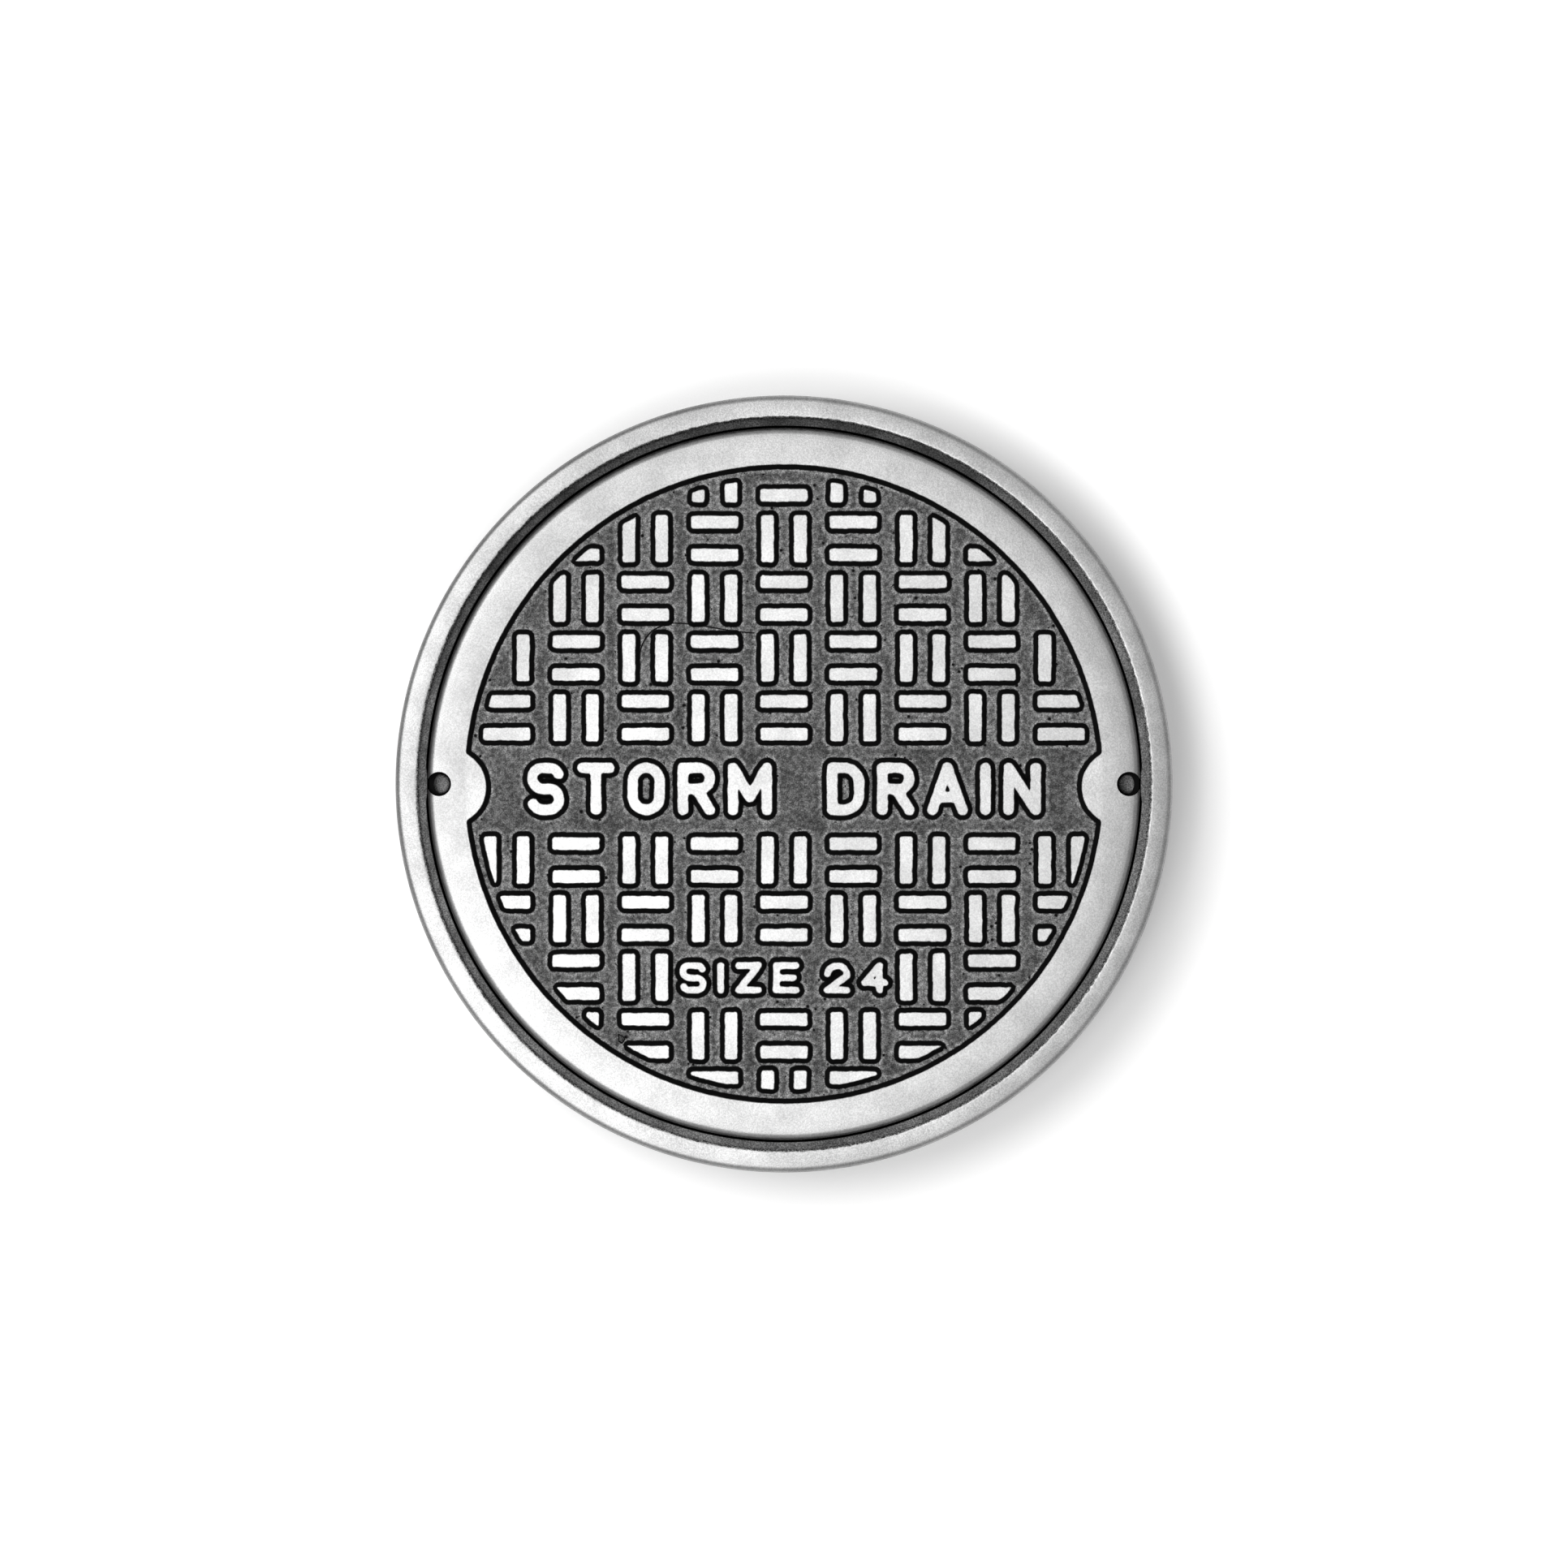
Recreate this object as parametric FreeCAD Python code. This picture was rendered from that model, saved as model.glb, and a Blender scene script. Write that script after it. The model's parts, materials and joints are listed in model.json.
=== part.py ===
"""Cast-iron manhole frame and cover with a 610 mm clear opening.

Units are millimetres, +Z is up.  The frame's base lies on z = 0 and the axis of the opening is
the Z axis.  The cover lies in the frame with its top level with the frame's top.
"""
import FreeCAD
import Part
import math
import os

V = FreeCAD.Vector
ORIGIN = V(0, 0, 0)
UP = V(0, 0, 1)

# ---- driving sizes ----------------------------------------------------------------------------
cover_r = 330.0            # cover, outer radius: the common 26 inch cover
frame_height = 127.0       # frame, overall height: 5 inch
seat_width = 25.0          # how far the cover overlaps the clear opening all round
rim_depth = 38.0           # cover, thickness of the bearing rim
rim_width = 34.0           # cover, width of the raised rim seen from above
relief = 6.0               # height of rim, treads and letters above the field
field_thickness = 23.0     # cover, plate thickness under the field
top_ring_width = 18.5      # frame, width of its top face
ledge_width = 7.5          # frame, small step between its top face and the pocket
ledge_drop = 7.0           # frame, how far that step lies below the top
throat_wall = 12.0         # frame, wall of the throat
throat_straight = 66.0     # frame, height of the straight bore; above it the throat widens
lip_recess = 4.0           # how far it widens, so that the cushion's lip leaves the bore clear
flange_thickness = 19.0    # frame, base flange
cushion_thickness = 4.0    # rubber ring on the seat
pick_hole_r = 11.3         # round pick holes at nine and three o'clock
stub_width = 24.0          # two low stubs on the frame, one beside each pick hole
anchor_hole_r = 11.0       # anchor holes in the base flange
anchor_count = 4
gusset_count = 8
gusset_thickness = 12.0
rib_count = 8
rib_thickness = 12.0
hub_r = 26.0               # boss where the ribs meet
rib_depth = 26.0           # how far the ribs hang below the plate at its middle

# ---- clearances -------------------------------------------------------------------------------
cover_gap = 4.0            # cover edge to frame pocket, all round
lip_gap = 0.4              # cushion lip to throat
cushion_margin = 1.5       # cushion edge inside the cover's edge
screw_gap = 0.1            # screw shank to its hole
cup_gap = 3.0              # cup flange to the cushion's lip
stub_gap = 0.8             # frame's stubs to the cover's edge

# ---- derived sizes ----------------------------------------------------------------------------
top_z = frame_height
field_z = top_z - relief
rim_under_z = top_z - rim_depth
plate_under_z = field_z - field_thickness
seat_z = rim_under_z - cushion_thickness
clear_r = cover_r - seat_width
pocket_r = cover_r + cover_gap
ledge_r = pocket_r + ledge_width
frame_r = ledge_r + top_ring_width
throat_r = clear_r + throat_wall
rim_inner_r = cover_r - rim_width
wall_run = 3.5             # how far a drafted wall leans out over the relief
tread_field_r = rim_inner_r - 13.0
drawn_for_r = 283.0        # the treads and letters are drawn for this field and scale with it
scale = tread_field_r / drawn_for_r
foot_round = 8.0           # fillet between the throat and the base flange
anchor_r = (throat_r + foot_round + frame_r) / 2.0 - 1.0
lip_width = 3.2
lip_depth = 8.0
recess_r = clear_r + lip_recess
lip_outer_r = recess_r - lip_gap
lip_inner_r = lip_outer_r - lip_width

# pick pockets
pick_r = cover_r - 10.4    # radius of the pick holes' centres
pocket_roof_z = top_z - 13.0
pocket_floor_z = pocket_roof_z - 14.0
pocket_end_wall = 5.0      # metal between the pocket's outer end and the cover's edge
cup_flange_r = 25.0
cup_r = lip_inner_r - cup_gap - cup_flange_r   # radius of the cups' centres
cup_mouth_r = 12.0
cup_wall = 1.5
cup_depth = 20.0
seal_thickness = 1.5
cup_flange_thickness = 3.0
screw_circle_r = 19.0
screw_r = 2.5
screw_length = 16.0
screw_head_r = 4.25
screw_head_height = 3.5
lobe_r = 35.3
lobe_centre_r = cover_r - 19.0
lobe_y = -3.0 * scale


# ---- helpers ----------------------------------------------------------------------------------
def turned(outline):
    """Solid of revolution about Z from (radius, height) corners."""
    corners = [V(r, 0, z) for r, z in outline]
    return Part.Face(Part.makePolygon(corners + corners[:1])).revolve(ORIGIN, UP, 360)


def rounded(solid, radius, rings):
    """Round the circular edges that lie at the given (radius, height) places."""
    edges = []
    for edge in solid.Edges:
        curve = edge.Curve
        if isinstance(curve, Part.Circle):
            for r, z in rings:
                if abs(curve.Radius - r) < 0.01 and abs(curve.Center.z - z) < 0.01:
                    edges.append(edge)
    return solid.makeFillet(radius, edges)


def placed(shape, x, y, degrees, z=0.0):
    """Copy of a shape, turned about Z and then moved."""
    copy = shape.copy()
    copy.rotate(ORIGIN, UP, degrees)
    copy.translate(V(x, y, z))
    return copy


def arc(centre, radius, start, end, z):
    """Arc edge in a level plane, angles in degrees."""
    points = []
    for angle in (start, (start + end) / 2.0, end):
        a = math.radians(angle)
        points.append(V(centre[0] + radius * math.cos(a), centre[1] + radius * math.sin(a), z))
    return Part.Arc(*points).toShape()


def line(a, b):
    return Part.LineSegment(a, b).toShape()


def end_point(edge, last):
    return edge.valueAt(edge.LastParameter if last else edge.FirstParameter)


def slab(wire_at, low, high, run):
    """Drafted solid between wire_at(run, low) and wire_at(0, high)."""
    return Part.makeLoft([wire_at(run, low), wire_at(0.0, high)], True, True)


# ---- treads -----------------------------------------------------------------------------------
def bar_wire(length, width, corner, grow, z):
    """Rounded rectangle about the origin, its long side on X, grown outwards all round."""
    a = length / 2.0 + grow
    b = width / 2.0 + grow
    c = corner + grow
    corners = ((a - c, b - c, 0), (-a + c, b - c, 90), (-a + c, -b + c, 180), (a - c, -b + c, 270))
    arcs = [arc((x, y), c, start, start + 90, z) for x, y, start in corners]
    edges = []
    for i, edge in enumerate(arcs):
        edges.append(edge)
        edges.append(line(end_point(edge, True), end_point(arcs[(i + 1) % 4], False)))
    return Part.Wire(edges)


bar_length = 44.0 * scale
bar_width = 12.0 * scale
bar_corner = 2.5 * scale
bar_spacing = 30.4 * scale
column_pitch = 64.2 * scale
upper_row_y = 61.4 * scale
upper_row_pitch = 55.3 * scale
lower_row_y = -70.5 * scale
lower_row_pitch = -54.2 * scale
rows_per_side = 5
outer_column = 4
least_share = 0.15         # a bar that keeps less than this inside the field is left out
label_row = 2              # this lower row gives way to the small lettering in its middle


def tread_bars():
    """Basket-weave pairs of bars that fill the field above and below the lettering."""
    plain = slab(lambda grow, z: bar_wire(bar_length, bar_width, bar_corner, grow, z),
                 field_z, top_z, wall_run)
    edge = Part.makeCone(tread_field_r + wall_run, tread_field_r, relief, V(0, 0, field_z))
    disc = Part.Face(Part.Wire(Part.makeCircle(tread_field_r)))
    full = Part.Face(bar_wire(bar_length, bar_width, bar_corner, 0.0, 0.0))
    bars = []
    for upper in (True, False):
        for row in range(rows_per_side):
            if upper:
                y = upper_row_y + row * upper_row_pitch
            else:
                y = lower_row_y + row * lower_row_pitch
            for column in range(-outer_column, outer_column + 1):
                if not upper and row == label_row and abs(column) <= 1:
                    continue
                level = ((column + row) % 2 == 0) == upper
                for side in (-0.5, 0.5):
                    shift = side * bar_spacing
                    x = column * column_pitch
                    place = (x, y + shift, 0) if level else (x + shift, y, 90)
                    reach = math.hypot(place[0], place[1]) + bar_length
                    if reach < tread_field_r:
                        bars.append(placed(plain, *place))
                        continue
                    share = placed(full, *place).common(disc).Area / full.Area
                    if share >= least_share:
                        bars.append(placed(plain, *place).common(edge).Solids[0])
    return bars


# ---- lettering --------------------------------------------------------------------------------
def stroke_wire(stroke, radius, z):
    """Outline of one round-ended stroke, a straight one or an arc, of the given half width."""
    if stroke[0] == "line":
        x0, y0, x1, y1 = stroke[1:]
        along = math.degrees(math.atan2(y1 - y0, x1 - x0))
        first = arc((x1, y1), radius, along - 90, along + 90, z)
        second = arc((x0, y0), radius, along + 90, along + 270, z)
        return Part.Wire([first, line(end_point(first, True), end_point(second, False)),
                          second, line(end_point(second, True), end_point(first, False))])
    x, y, r, start, end = stroke[1:]
    a0, a1 = math.radians(start), math.radians(end)
    outer = arc((x, y), r + radius, start, end, z)
    inner = arc((x, y), r - radius, start, end, z)
    tip = arc((x + r * math.cos(a1), y + r * math.sin(a1)), radius, end, end + 180, z)
    tail = arc((x + r * math.cos(a0), y + r * math.sin(a0)), radius, start, start - 180, z)
    return Part.Wire([outer, tip, inner, tail])


def glyph(letter, w, h):
    """Centre lines of a letter in a box of width w and height h, and the width it takes."""
    q = h / 4.0
    r = w / 2.0
    if letter == "S":
        return [("arc", w - q, h - q, q, 25, 90), ("line", w - q, h, q, h),
                ("arc", q, h - q, q, 90, 270), ("line", q, h / 2, w - q, h / 2),
                ("arc", w - q, q, q, -90, 90), ("line", w - q, 0, q, 0),
                ("arc", q, q, q, 205, 270)], w
    if letter == "T":
        return [("line", 0, h, w, h), ("line", r, h, r, 0)], w
    if letter == "O":
        return [("arc", r, h - r, r, 0, 180), ("line", 0, h - r, 0, r),
                ("arc", r, r, r, 180, 360), ("line", w, r, w, h - r)], w
    if letter == "R":
        return [("line", 0, 0, 0, h), ("line", 0, h, w - q, h), ("arc", w - q, h - q, q, -90, 90),
                ("line", w - q, h / 2, 0, h / 2), ("line", w * 0.5, h / 2, w, 0)], w
    if letter == "M":
        w = w * 1.25
        return [("line", 0, 0, 0, h), ("line", 0, h, w / 2, h * 0.3),
                ("line", w / 2, h * 0.3, w, h), ("line", w, h, w, 0)], w
    if letter == "D":
        c = w * 0.55
        return [("line", 0, 0, 0, h), ("line", 0, h, w - c, h), ("arc", w - c, h - c, c, 0, 90),
                ("line", w, h - c, w, c), ("arc", w - c, c, c, 270, 360),
                ("line", w - c, 0, 0, 0)], w
    if letter == "A":
        w = w * 1.1
        return [("line", 0, 0, w / 2, h), ("line", w / 2, h, w, 0),
                ("line", w * 0.2, h * 0.3, w * 0.8, h * 0.3)], w
    if letter == "I":
        return [("line", 0, 0, 0, h)], 0.0
    if letter == "N":
        return [("line", 0, 0, 0, h), ("line", 0, h, w, 0), ("line", w, 0, w, h)], w
    if letter == "Z":
        return [("line", 0, h, w, h), ("line", w, h, 0, 0), ("line", 0, 0, w, 0)], w
    if letter == "E":
        return [("line", 0, 0, 0, h), ("line", 0, h, w, h), ("line", 0, h / 2, w * 0.85, h / 2),
                ("line", 0, 0, w, 0)], w
    if letter == "2":
        return [("arc", r, h - r, r, 0, 170), ("line", w, h - r, 0, 0), ("line", 0, 0, w, 0)], w
    if letter == "4":
        return [("line", w * 0.72, 0, w * 0.72, h), ("line", w * 0.72, h, 0, h * 0.3),
                ("line", 0, h * 0.3, w, h * 0.3)], w
    raise ValueError(letter)


def lettering(text, height, width, stroke_r, run, gap, space, centre_y):
    """Raised drafted letters centred on X; gap is the clear space between two letters' tops."""
    w = width - 2 * stroke_r
    h = height - 2 * stroke_r
    total = -gap
    for letter in text:
        total += space if letter == " " else glyph(letter, w, h)[1] + 2 * stroke_r + gap
    x = -total / 2.0
    solids = []
    for letter in text:
        if letter == " ":
            x += space
            continue
        strokes, taken = glyph(letter, w, h)
        for stroke in strokes:
            solid = slab(lambda grow, z: stroke_wire(stroke, stroke_r + grow, z),
                         field_z, top_z, run)
            solids.append(placed(solid, x + stroke_r, centre_y - h / 2.0, 0))
        x += taken + 2 * stroke_r + gap
    return solids


# ---- the frame --------------------------------------------------------------------------------
flare_low = (pocket_r + 6.0, seat_z - 4.0)      # the flare under the seat, outside
flare_high = (frame_r, seat_z + 8.0)
flare_share = (seat_z - flare_low[1]) / (flare_high[1] - flare_low[1])
flare_at_seat = flare_low[0] + flare_share * (flare_high[0] - flare_low[0])


def build_frame():
    """Lower part of the frame's casting: base flange, throat, gussets and the seat."""
    under_seat_z = seat_z - 10.0
    ring = turned([
        (clear_r, 0), (frame_r, 0), (frame_r, flange_thickness), (throat_r, flange_thickness),
        (throat_r, under_seat_z), flare_low, (flare_at_seat, seat_z), (recess_r, seat_z),
        (recess_r, seat_z - lip_depth - 1.0), (clear_r, throat_straight)])
    ring = rounded(ring, 3.0, [(frame_r, flange_thickness), (frame_r, 0)])
    ring = rounded(ring, 1.2, [(recess_r, seat_z)])
    ring = rounded(ring, foot_round, [(throat_r, flange_thickness)])
    half = gusset_thickness / 2.0
    reach = frame_r - 8.0
    sheet = Part.Face(Part.makePolygon([
        V(throat_r - 4, -half, flange_thickness - 4), V(reach, -half, flange_thickness - 4),
        V(reach, -half, flange_thickness + 6), V(throat_r + 4, -half, under_seat_z - 4),
        V(throat_r - 4, -half, under_seat_z - 4), V(throat_r - 4, -half, flange_thickness - 4)]))
    gusset = sheet.extrude(V(0, 2 * half, 0))
    for i in range(gusset_count):
        ring = ring.fuse(placed(gusset, 0, 0, (i + 0.5) * 360.0 / gusset_count))
    hole = Part.makeCylinder(anchor_hole_r, flange_thickness + 10, V(anchor_r, 0, -5))
    for i in range(anchor_count):
        ring = ring.cut(placed(hole, 0, 0, (i + 0.5) * 360.0 / anchor_count))
    return ring.removeSplitter()


def build_top_ring():
    """Upper part of the frame's casting: the ring round the cover, with two low stubs."""
    ring = turned([
        (pocket_r, seat_z), (flare_at_seat, seat_z), flare_high, (frame_r, top_z),
        (ledge_r, top_z), (ledge_r, top_z - ledge_drop), (pocket_r, top_z - ledge_drop)])
    ring = rounded(ring, 7.0, [(frame_r, top_z)])
    ring = rounded(ring, 1.2, [(ledge_r, top_z)])
    stub_in = cover_r + stub_gap
    band = turned([(stub_in, top_z - 14.0), (pocket_r + 2, top_z - 18.0),
                   (pocket_r + 2, top_z - ledge_drop), (stub_in, top_z - ledge_drop)])
    for side in (-1, 1):
        window = Part.makeBox(20, stub_width, 20,
                              V(side * pocket_r - 10, -stub_width / 2.0, top_z - 20))
        ring = ring.fuse(band.common(window))
    return ring.removeSplitter()


# ---- the cover --------------------------------------------------------------------------------
def cover_plate():
    """Plate and bearing rim, with the two lobes that carry the pick holes."""
    foot_r = rim_inner_r - wall_run
    plate = turned([
        (0, plate_under_z), (clear_r - 2, plate_under_z), (clear_r + 3, rim_under_z),
        (cover_r - 3, rim_under_z), (cover_r, top_z - 8), (cover_r, top_z),
        (rim_inner_r, top_z), (foot_r, field_z), (0, field_z)])
    plate = rounded(plate, 6.0, [(cover_r, top_z)])
    plate = rounded(plate, 2.0, [(cover_r - 3, rim_under_z)])
    inside = Part.makeCylinder(rim_inner_r + 6, relief, V(0, 0, field_z))
    lobes = []
    for side in (-1, 1):
        lobe = Part.makeCone(lobe_r + wall_run, lobe_r, relief,
                             V(side * lobe_centre_r, lobe_y, field_z))
        lobes.append(lobe.common(inside))
    return plate.multiFuse(lobes)


def under_ribs():
    """Radial ribs, one ring rib and a hub on the underside."""
    root = plate_under_z + 2
    outer = clear_r - 8
    deep = plate_under_z - rib_depth
    half = rib_thickness / 2.0
    sheet = Part.Face(Part.makePolygon([
        V(0, -half, root), V(0, -half, deep), V(outer * 0.66, -half, deep + 4),
        V(outer, -half, plate_under_z - 8), V(outer, -half, root), V(0, -half, root)]))
    rib = sheet.extrude(V(0, 2 * half, 0))
    solids = [placed(rib, 0, 0, (i + 0.5) * 360.0 / rib_count) for i in range(rib_count)]
    ring_r = outer * 0.52
    solids.append(turned([(ring_r - half, deep + 3), (ring_r + half, deep + 3),
                          (ring_r + half, root), (ring_r - half, root)]))
    solids.append(Part.makeCylinder(hub_r, root - deep + 2, V(0, 0, deep - 2)))
    return solids


def pick_tools(side):
    """Pad to add and pockets to cut for one pick hole, on the side -1 or +1."""
    pad = Part.makeCylinder(cup_flange_r + 2, plate_under_z - rim_under_z + 2,
                            V(side * cup_r, 0, rim_under_z))
    hole = Part.makeCylinder(pick_hole_r, top_z - pocket_roof_z + 6,
                             V(side * pick_r, 0, pocket_roof_z - 1))
    slot_height = pocket_roof_z - pocket_floor_z
    end_x = cover_r - pocket_end_wall - cup_mouth_r
    low_x = min(side * end_x, side * cup_r)
    slot = Part.makeBox(end_x - cup_r, 2 * cup_mouth_r, slot_height,
                        V(low_x, -cup_mouth_r, pocket_floor_z))
    end = Part.makeCylinder(cup_mouth_r, slot_height, V(side * end_x, 0, pocket_floor_z))
    well = Part.makeCylinder(cup_mouth_r, pocket_roof_z - rim_under_z + 5,
                             V(side * cup_r, 0, rim_under_z - 5))
    cuts = [hole, slot.fuse([end, well]).removeSplitter()]
    depth = screw_length - cup_flange_thickness - seal_thickness + 2
    for x, y in screw_places(side):
        cuts.append(Part.makeCylinder(screw_r + screw_gap, depth + 3, V(x, y, rim_under_z - 3)))
    return pad, cuts


def screw_places(side):
    places = []
    for degrees in (60, 180, 300):
        a = math.radians(degrees)
        places.append((side * (cup_r + screw_circle_r * math.cos(a)),
                       screw_circle_r * math.sin(a)))
    return places


def build_cover():
    """The whole cover casting."""
    raised = tread_bars()
    raised += lettering("STORM DRAIN", 49.0 * scale, 35.0 * scale, 5.0 * scale, 3.0 * scale,
                        11.5 * scale, 39.0 * scale, -4.5 * scale)
    raised += lettering("SIZE 24", 29.0 * scale, 25.0 * scale, 3.2 * scale, 2.1 * scale,
                        10.0 * scale, 12.0 * scale, -179.5 * scale)
    pads = []
    cuts = []
    for side in (-1, 1):
        pad, more = pick_tools(side)
        pads.append(pad)
        cuts += more
    cover = cover_plate().multiFuse(under_ribs() + pads)
    cover = cover.multiFuse(raised)
    cover = cover.cut(Part.makeCompound(cuts))
    return cover.removeSplitter()


# ---- small parts ------------------------------------------------------------------------------
def build_cushion():
    """Rubber ring on the seat, with a lip that hangs into the throat and centres it."""
    outer = cover_r - cushion_margin
    ring = turned([
        (lip_inner_r, seat_z - lip_depth), (lip_outer_r, seat_z - lip_depth),
        (lip_outer_r, seat_z), (outer, seat_z), (outer, rim_under_z), (lip_inner_r, rim_under_z)])
    return rounded(ring, 0.8, [(outer, rim_under_z), (lip_inner_r, rim_under_z),
                               (lip_inner_r, seat_z - lip_depth)])


def build_cup(side):
    """Flanged round cup that hangs below a pick pocket."""
    top = rim_under_z - seal_thickness
    low = top - cup_flange_thickness
    outer = cup_mouth_r + cup_wall
    bottom = top - cup_depth
    cup = turned([
        (0, bottom), (outer, bottom), (outer, low), (cup_flange_r, low), (cup_flange_r, top),
        (cup_mouth_r, top), (cup_mouth_r, bottom + cup_wall), (0, bottom + cup_wall)])
    cup = rounded(cup, 3.0, [(outer, bottom)])
    cup = rounded(cup, 1.5, [(cup_mouth_r, bottom + cup_wall)])
    cup = rounded(cup, 1.0, [(cup_flange_r, low), (cup_flange_r, top)])
    cup.translate(V(side * cup_r, 0, 0))
    return bored(cup, side, low, top)


def build_seal(side):
    """Flat gasket between a cup's flange and the cover."""
    low = rim_under_z - seal_thickness
    seal = Part.makeCylinder(cup_flange_r - 0.5, seal_thickness, V(side * cup_r, 0, low))
    seal = seal.cut(Part.makeCylinder(cup_mouth_r + 0.5, 9, V(side * cup_r, 0, low - 4)))
    return bored(seal, side, low, rim_under_z)


def bored(shape, side, low, high):
    """Cut the three screw holes through a flange or gasket."""
    for x, y in screw_places(side):
        shape = shape.cut(Part.makeCylinder(screw_r + screw_gap, high - low + 4, V(x, y, low - 2)))
    return shape


def build_screws(side):
    """Three hexagon-head screws with a flat washer face, up through a cup's flange."""
    under = rim_under_z - seal_thickness - cup_flange_thickness
    screws = []
    for x, y in screw_places(side):
        corners = []
        for i in range(7):
            a = math.radians(60 * i)
            corners.append(V(screw_head_r * math.cos(a), screw_head_r * math.sin(a),
                             -screw_head_height))
        head = Part.Face(Part.makePolygon(corners)).extrude(V(0, 0, screw_head_height - 0.5))
        washer = Part.makeCylinder(screw_head_r + 0.6, 0.5, V(0, 0, -0.5))
        shank = Part.makeCylinder(screw_r, screw_length, V(0, 0, 0))
        tip = shank.Edges[0]
        for edge in shank.Edges:
            if isinstance(edge.Curve, Part.Circle) and edge.Curve.Center.z > screw_length - 0.1:
                tip = edge
        shank = shank.makeChamfer(0.6, [tip])
        screw = head.fuse(washer).fuse(shank).removeSplitter()
        screws.append(placed(screw, x, y, 0, under))
    return Part.makeCompound(screws)


# ---- write the parts --------------------------------------------------------------------------
def main():
    os.makedirs("parts", exist_ok=True)
    nodes = {"frame": build_frame(), "frame_top_ring": build_top_ring(),
             "cover": build_cover(), "seat_cushion": build_cushion()}
    for name, side in (("left", -1), ("right", 1)):
        nodes["pick_cup_" + name] = build_cup(side)
        nodes["cup_seal_" + name] = build_seal(side)
        nodes["cup_screws_" + name] = build_screws(side)
    for name, shape in nodes.items():
        box = shape.BoundBox
        print(name, len(shape.Solids), shape.isValid(), round(shape.Volume / 1e3, 1),
              [round(v, 2) for v in (box.XMin, box.YMin, box.ZMin, box.XMax, box.YMax, box.ZMax)])
        shape.exportStep(os.path.join("parts", name + ".step"))


main()
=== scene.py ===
"""Looks of a cast-iron manhole frame and cover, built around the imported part.

All lengths are metres in the part's own frame: +Z up, origin at the centre of the frame's base.
"""
import json
import logging
import math
import random
from dataclasses import dataclass, field
from enum import Enum

import bmesh
import bpy
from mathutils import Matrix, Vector, noise
from mathutils.geometry import delaunay_2d_cdt, interpolate_bezier
from mathutils.kdtree import KDTree


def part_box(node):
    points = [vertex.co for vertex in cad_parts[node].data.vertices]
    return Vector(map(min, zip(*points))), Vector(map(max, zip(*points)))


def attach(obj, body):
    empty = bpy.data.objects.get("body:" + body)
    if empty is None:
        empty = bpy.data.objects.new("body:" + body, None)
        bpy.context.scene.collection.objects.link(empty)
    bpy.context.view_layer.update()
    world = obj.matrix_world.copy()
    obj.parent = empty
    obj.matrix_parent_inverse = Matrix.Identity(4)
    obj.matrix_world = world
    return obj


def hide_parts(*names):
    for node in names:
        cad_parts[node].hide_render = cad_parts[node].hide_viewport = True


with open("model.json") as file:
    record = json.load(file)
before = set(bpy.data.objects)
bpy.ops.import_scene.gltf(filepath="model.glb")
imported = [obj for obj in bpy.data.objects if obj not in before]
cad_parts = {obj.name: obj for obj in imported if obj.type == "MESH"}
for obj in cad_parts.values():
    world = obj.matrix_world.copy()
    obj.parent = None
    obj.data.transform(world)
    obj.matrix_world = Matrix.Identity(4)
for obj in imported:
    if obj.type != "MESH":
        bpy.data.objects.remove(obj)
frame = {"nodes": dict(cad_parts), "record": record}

LOG = logging.getLogger("manhole")
MM = 0.001
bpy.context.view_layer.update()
Socket = bpy.types.NodeSocket
Amount = Socket | float
HAIR = 1e-5


class Body(Enum):
    """The rigid bodies that pieces ride on."""

    FRAME = "frame_body"
    RING = "ring_body"
    COVER = "cover_body"


# ---- mesh helpers -------------------------------------------------------------------------------
def radius(point: Vector) -> float:
    """Distance of a point from the Z axis."""
    return math.hypot(point.x, point.y)


def heading(angle: float) -> Vector:
    """Unit vector in the plane at an angle from +X."""
    return Vector((math.cos(angle), math.sin(angle)))


def sides(loop: list[Vector]) -> list[tuple[Vector, Vector]]:
    """Start and end of each side of a closed outline."""
    return list(zip(loop, loop[1:] + loop[:1]))


def search_tree(points: list[Vector]) -> KDTree:
    """Make a tree that finds the nearest of some points.

    Args:
        points: Points of the plane.

    Returns:
        The tree.
    """
    tree = KDTree(len(points))
    for i, point in enumerate(points):
        tree.insert(point.to_3d(), i)
    tree.balance()
    return tree


def unevenness(place: Vector, waves: tuple) -> float:
    """Noise at a place, summed over pairs of a wave's length and its height."""
    return sum(noise.noise(place / length) * height for length, height in waves)


def merged_copy(node: str) -> bmesh.types.BMesh:
    """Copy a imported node's mesh and merge its loose triangles.

    Args:
        node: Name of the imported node.

    Returns:
        A bmesh with shared vertices.
    """
    mesh = bmesh.new()
    mesh.from_mesh(frame["nodes"][node].data)
    bmesh.ops.remove_doubles(mesh, verts=mesh.verts, dist=2e-6)
    return mesh


def finished(mesh: bmesh.types.BMesh, name: str, body: Body, nodes: list[str],
             finish: bpy.types.Material, crease: float = 35.0) -> bpy.types.Object:
    """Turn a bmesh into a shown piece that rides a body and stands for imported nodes.

    Args:
        mesh: The geometry, freed here.
        name: The piece's name.
        body: The body that it moves with.
        nodes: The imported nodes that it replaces.
        finish: Its material.
        crease: Edges sharper than this many degrees are shaded sharp.

    Returns:
        The new object.
    """
    data = bpy.data.meshes.new(name)
    for face in mesh.faces:
        face.smooth = True
    for edge in mesh.edges:
        if edge.is_manifold and edge.calc_face_angle() > math.radians(crease):
            edge.smooth = False
    mesh.to_mesh(data)
    mesh.free()
    data.materials.append(finish)
    piece = bpy.data.objects.new(name, data)
    bpy.context.scene.collection.objects.link(piece)
    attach(piece, body.value)
    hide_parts(*nodes)
    LOG.info("%s: %d faces", name, len(data.polygons))
    return piece


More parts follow.
